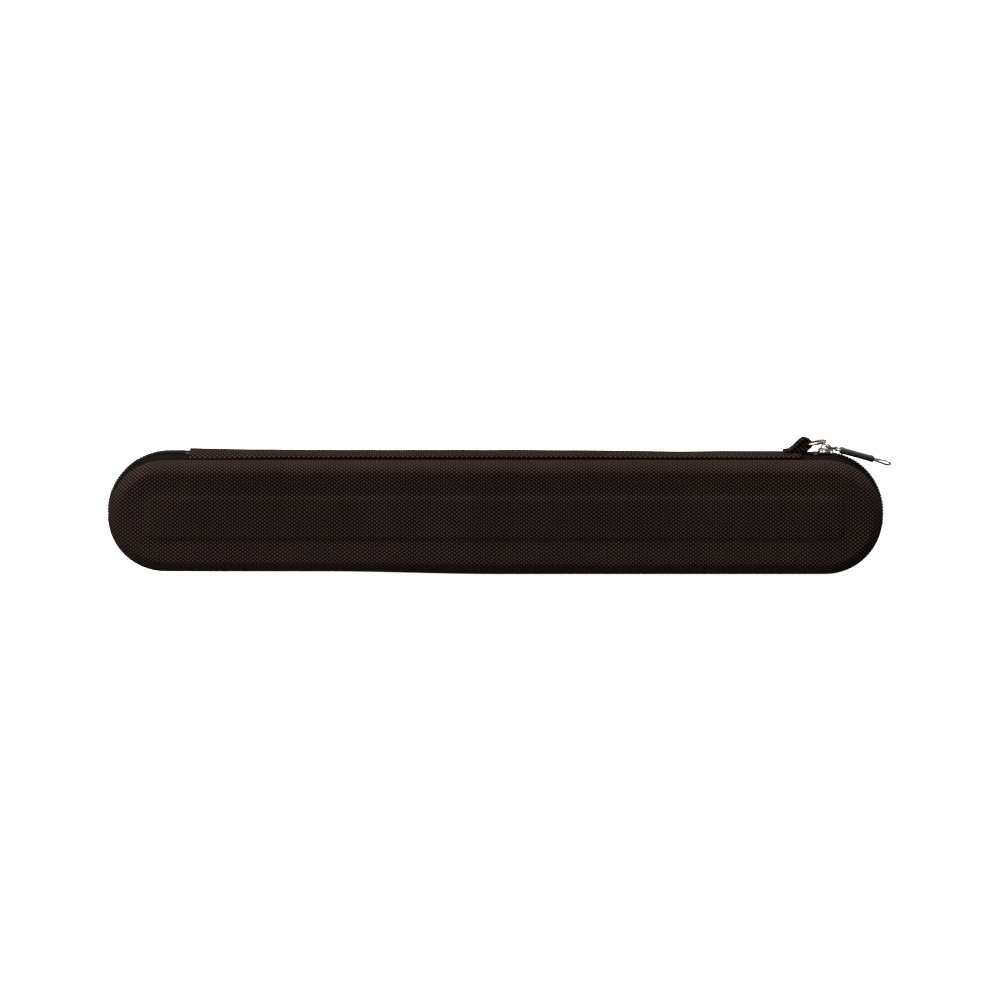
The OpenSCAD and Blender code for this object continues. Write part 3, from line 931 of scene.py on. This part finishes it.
def slider_plate(along, out, low, high, length, width, waist):
    """A rounded plate of the slider, narrower at its rear, with domed edges."""
    outline = []
    steps = 40
    for k in range(steps):
        a = 2 * math.pi * k / steps
        c, s = math.cos(a), math.sin(a)
        u = math.copysign(abs(c) ** 0.45, c) * length / 2
        narrow = 1 - waist * (u / length + 0.5) ** 2
        w = math.copysign(abs(s) ** 0.45, s) * width / 2 * narrow
        outline.append((u, w))
    thick = high - low
    rings = [(0.0, 0.80), (0.12, 0.93), (0.35, 1.0), (0.65, 1.0), (0.88, 0.93), (1.0, 0.80)]
    centre = Vector((HALF_RUN, 0, MID))
    rows = []
    for t, scale in rings:
        shrink = (1 - scale) * thick * 2.2
        rows.append([centre + along * (u - math.copysign(min(abs(u), shrink), u))
                     + out * (low + thick * t)
                     + Vector((0, 0, w - math.copysign(min(abs(w), shrink), w))) for u, w in outline])
    points = np.array([[tuple(p) for p in row] for row in rows]).reshape(-1, 3)
    faces, corners = grid_faces(len(rings), steps, False, True)
    faces += [list(range(steps)), [(len(rings) - 1) * steps + j for j in range(steps)]]
    corners += [(0, j) for j in range(steps)] + [(len(rings) - 1, j) for j in range(steps)]
    return points, faces, [(i * 1.0, j * 1.0) for i, j in corners]


def slider():
    """Die-cast slider: two plates, side flanges, wedge and the arched bridge for the puller."""
    along, out = tilted(PARK_ANGLE)
    low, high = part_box("slider")
    width = high.z - low.z
    length = 10 * MM
    plate = COIL_CREST + 0.4 * MM
    top = plate + 1.1 * MM
    floor = TAPE_FACE - TAPE - 1.5 * MM
    centre = Vector((HALF_RUN, 0, MID))
    z = Vector((0, 0, 1))
    parts = [slider_plate(along, out, plate, top, length, width, 0.30),
             slider_plate(along, out, floor, floor + 1.1 * MM, length, width - 1 * MM, 0.30)]
    for side in (-1, 1):
        line = [centre + along * u + out * (plate - 0.75 * MM) + z * side * w for u, w in (
            (-4.4 * MM, width / 2 - 0.75 * MM), (-1 * MM, width / 2 - 0.6 * MM),
            (2 * MM, width / 2 - 0.95 * MM), (4.2 * MM, width / 2 - 1.5 * MM))]
        parts.append(tube(line, rounded(1.0 * MM, 2.0 * MM, 0.35 * MM), out))
    wedge = [centre + along * u + out * (plate + floor) / 2 for u in (-4.6 * MM, -3.6 * MM, -2.7 * MM)]
    parts.append(tube(wedge, rounded(1.5 * MM, plate - floor, 0.3 * MM), out))
    arch = [centre + along * u + out * r for u, r in (
        (-3.3 * MM, top - 0.4 * MM), (-3.0 * MM, top + 1.7 * MM), (-1.7 * MM, top + 2.85 * MM),
        (1.7 * MM, top + 2.85 * MM), (3.0 * MM, top + 1.7 * MM), (3.3 * MM, top - 0.4 * MM))]
    parts.append(tube(bent(arch, 1.3 * MM), rounded(1.1 * MM, 2.0 * MM, 0.35 * MM), z))
    make_piece("slider_body", *joined(parts), STEEL, "slider", "steel", ("slider",))


def puller():
    """Link with a rolled barrel, long wire loop and the rubber sleeve moulded over it."""
    along = (LOOP_AXIS - LINK_AXIS).normalized()
    out = Vector((0, 0, 1)).cross(along)
    z = Vector((0, 0, 1))
    pitch = (LOOP_AXIS - LINK_AXIS).length
    link_half, strip = 2.0 * MM, 1.0 * MM
    corners = [LINK_AXIS + along * u + z * w for u, w in (
        (0, -link_half), (0, link_half), (pitch - 1.3 * MM, link_half), (pitch - 1.3 * MM, -link_half))]
    frame_path = bent(corners, 1.1 * MM, closed=True)
    barrel = [LOOP_AXIS + z * w for w in np.linspace(-2.5 * MM, 2.5 * MM, 7)]
    hollow = circle(1.45 * MM, 20)
    hollow = hollow + hollow[:1] + circle(0.95 * MM, 20)[:1] + circle(0.95 * MM, 20)[::-1]
    link = [tube(frame_path, rounded(strip, 1.2 * MM, 0.35 * MM), out, closed=True),
            tube(barrel, hollow, out)]
    make_piece("puller_link_frame", *joined(link), GUNMETAL, "link", "gunmetal", ("puller_link",))
    wire = 0.75 * MM
    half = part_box("puller_loop")[1].z - MID - wire
    reach = 36.5 * MM
    path = wire_outline(half, reach - half, 1.2 * MM, 24, leg_steps=8)
    along, out = tilted(math.atan2(-along.y, along.x) + DROOP)
    points = []
    for u, w in path:
        roll = END_ROLL * float(smooth((u - 22 * MM) / (12 * MM)))
        points.append(LOOP_AXIS + along * u + z * w * math.cos(roll) + out * w * math.sin(roll))
    make_piece("puller_wire_loop", *tube(points, circle(wire, 14), out, closed=True), STEEL,
               "puller", "steel", ("puller_loop",))
    rubber_sleeve(along, out, half)


def rubber_sleeve(along, out, half):
    """Flat oval grip with raised ends, a shallow waist and a moulded line round its edge."""
    thick, length = 4.5 * MM, 22.5 * MM
    start = (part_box("puller_sleeve")[0].x - LOOP_AXIS.x) / math.cos(PARK_ANGLE)
    stations = [(0.0, 0.72), (0.012, 0.88), (0.035, 0.98), (0.07, 1.0), (0.11, 0.97), (0.16, 0.90)]
    stations += [(t, 0.90 + 0.03 * abs(2 * t - 1)) for t in np.linspace(0.22, 0.78, 14)]
    stations += [(1 - t, s) for t, s in stations[:6][::-1]]
    sides = 40
    rows = []
    for t, scale in stations:
        row = []
        for k in range(sides):
            a = 2 * math.pi * k / sides
            c, s = math.cos(a), math.sin(a)
            w = math.copysign(abs(c) ** 0.55, c) * (half + thick / 2) * (0.86 + 0.14 * scale)
            h = math.copysign(abs(s) ** 0.8, s) * thick / 2 * scale
            if abs(s) < 0.08:
                w *= 1.012
            row.append(tuple(LOOP_AXIS + along * (start + length * t) + out * h + Vector((0, 0, w))))
        rows.append(row)
    points = np.array(rows)
    uv = np.zeros((len(stations), sides + 1, 2))
    grid_piece("rubber_grip", points, uv, RUBBER, "puller", "sleeve_rubber", ("puller_sleeve",),
               close_columns=True, caps=True)


# ---- Inside ----

def rod_strap(word, x):
    """Ribbed elastic strap across the base, stretched between its two sewn ends."""
    low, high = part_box("rod_strap_" + word)
    width = high.x - low.x
    foot = high.y - 0.6 * MM
    top = high.z - 0.6 * MM
    line = [(foot, low.z), (foot, low.z + 2 * MM), (foot - 5 * MM, top - 3.6 * MM),
            (foot - 12 * MM, top - 1.1 * MM), (0, top)]
    corners = [(0, y, z) for y, z in line] + [(0, -y, z) for y, z in line[:-1][::-1]]
    path = bent(corners, 5 * MM, steps=7)
    girth = lengths_of(path)
    section = rounded(1.1 * MM, width, 0.4 * MM)
    verts, faces, _ = tube(path, section, Vector((1, 0, 0)))
    verts = verts + np.array([x, 0, 0])
    verts[:, 1] = settled(*verts.T)
    uvs = [(girth[i // len(section)] / MM, section[i % len(section)][1] / MM)
           for face in faces for i in face]
    make_piece(f"{word}_rod_strap", verts, faces, uvs, ELASTIC, "base", "elastic",
               ("rod_strap_" + word,), weld=True)
    parts = []
    for side in (-1, 1):
        for row in range(2):
            y = float(settled(x, side * (foot - 0.72 * MM), low.z))
            path = [(x + width * (k / 22 - 0.5) * 0.86, y,
                     low.z + (0.9 + row * 0.9 + (0.5 if k % 2 else 0)) * MM) for k in range(23)]
            parts.append(strand(path, 0.2 * MM, 5))
    make_piece(f"{word}_strap_tacks", *joined(parts), LINING_THREAD, "base", "elastic")


def lid_pocket():
    """Net panel stretched across the lid's opening side, with its gathered elastic hem."""
    low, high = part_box("pocket_mesh")
    hem_low, hem_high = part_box("pocket_hem")
    edge_y = high.y
    rows, columns = 121, 22
    points, uv = [], []
    limit = INNER - 0.2 * MM
    for i in range(rows):
        t = 2 * i / (rows - 1) - 1
        row, cloth = [], []
        for j in range(columns):
            y = -limit + (edge_y + limit) * j / (columns - 1)
            reach = HALF_RUN + math.sqrt(max(limit ** 2 - y ** 2, 0)) - 0.1 * MM
            x = reach * t
            sag = 1.0 * MM * math.sin(math.pi * j / (columns - 1)) * (1 - t ** 4)
            gather = 0.35 * MM * math.sin(x * 260) * (j / (columns - 1)) ** 2
            z = (low.z + high.z) / 2 - sag + gather
            row.append((x, float(settled(x, y, z)), z))
            cloth.append((x / MM, y / MM))
        points.append(row)
        uv.append(cloth)
    points = np.array(points)
    piece = grid_piece("lid_net_pocket", points, np.array(uv), NET, "lid", "mesh", ("pocket_mesh",))
    hem = hem_piece(hem_low, hem_high, points)
    area = sheet_area(points)


def sheet_area(points):
    a = points[1:, :-1] - points[:-1, :-1]
    b = points[:-1, 1:] - points[:-1, :-1]
    return float(np.linalg.norm(np.cross(a, b), axis=-1).sum())


def hem_piece(low, high, points):
    """Elastic cord in a gathered casing along the pocket's free edge."""
    radius = (high.z - low.z) / 2
    runs, sides = 240, 12
    rows = []
    for i in range(runs + 1):
        x = low.x + (high.x - low.x) * i / runs
        lump = 1 + 0.10 * math.sin(x * 1500) + 0.06 * math.sin(x * 620 + 1)
        z = (low.z + high.z) / 2 + 0.35 * MM * math.sin(x * 260)
        rows.append([(x, (low.y + high.y) / 2 + a * lump, z + b * lump)
                     for a, b in circle(radius * 0.88, sides)])
    points = np.array(rows)
    uv = np.array([[(r[0][0] / MM, j * 0.6) for j in range(sides + 1)] for r in rows])
    return grid_piece("net_pocket_hem", points, uv, BINDING, "lid", "elastic", ("pocket_hem",),
                      close_columns=True, caps=True)


# ---- Setting ----

def aim(obj, target, up="Y"):
    direction = Vector(target) - obj.location
    obj.rotation_mode = "QUATERNION"
    obj.rotation_quaternion = direction.to_track_quat("-Z", up)


def camera():
    """Looks down on the lid, tipped towards the spine side, from far away."""
    data = bpy.data.cameras.new("camera")
    tip, distance, width = math.radians(7.0), 2.2, 0.6439
    target = Vector((2.9 * MM, 9.3 * MM, 43.5 * MM))
    data.sensor_width = 36
    data.lens = 36 * distance / width
    data.clip_end = 20
    obj = bpy.data.objects.new("camera", data)
    obj.location = target + Vector((0, math.sin(tip), math.cos(tip))) * distance
    obj.rotation_mode = "XYZ"
    obj.rotation_euler = (-tip, 0, 0)
    bpy.context.scene.collection.objects.link(obj)
    bpy.context.scene.camera = obj


def softbox(name, place, size, power, target=(0, 0, 0.04)):
    data = bpy.data.lights.new(name, "AREA")
    data.shape = "RECTANGLE"
    data.size, data.size_y = size
    data.energy = power
    obj = bpy.data.objects.new(name, data)
    obj.location = place
    aim(obj, target)
    bpy.context.scene.collection.objects.link(obj)


def studio():
    """Pale lit table and soft light, strongest from low on the spine side."""
    softbox("key", (-0.2, 2.3, 0.60), (2.2, 0.5), 240)
    softbox("fill", (-2.0, 0.5, 0.9), (0.8, 1.0), 60)
    softbox("top", (-0.3, 0.6, 2.6), (2.0, 1.4), 85)
    world = bpy.data.worlds.new("studio")
    bpy.context.scene.world = world
    world.use_nodes = True
    world.node_tree.nodes["Background"].inputs["Color"].default_value = (1, 1, 1, 1)
    world.node_tree.nodes["Background"].inputs["Strength"].default_value = 0.04
    side = 6.0
    mesh = bpy.data.meshes.new("floor")
    mesh.from_pydata([(-side, -side, 0), (side, -side, 0), (side, side, 0), (-side, side, 0)],
                     [], [(0, 1, 2, 3)])
    mesh.materials.append(floor_paper("floor_paper"))
    ground = bpy.data.objects.new("floor", mesh)
    ground.location.z = min(0.0, cad_box[0].z) - 0.05 * MM
    bpy.context.scene.collection.objects.link(ground)


camera()
studio()
for half in ("base", "lid"):
    shell(half)
zip_halves()
zip_ends()
spine()
ring_tab()
d_ring()
slider()
puller()
for place, word in ((-1, "left"), (1, "right")):
    strap_low, strap_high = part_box("rod_strap_" + word)
    rod_strap(word, (strap_low.x + strap_high.x) / 2)
lid_pocket()

bpy.context.scene.view_settings.view_transform = "Standard"
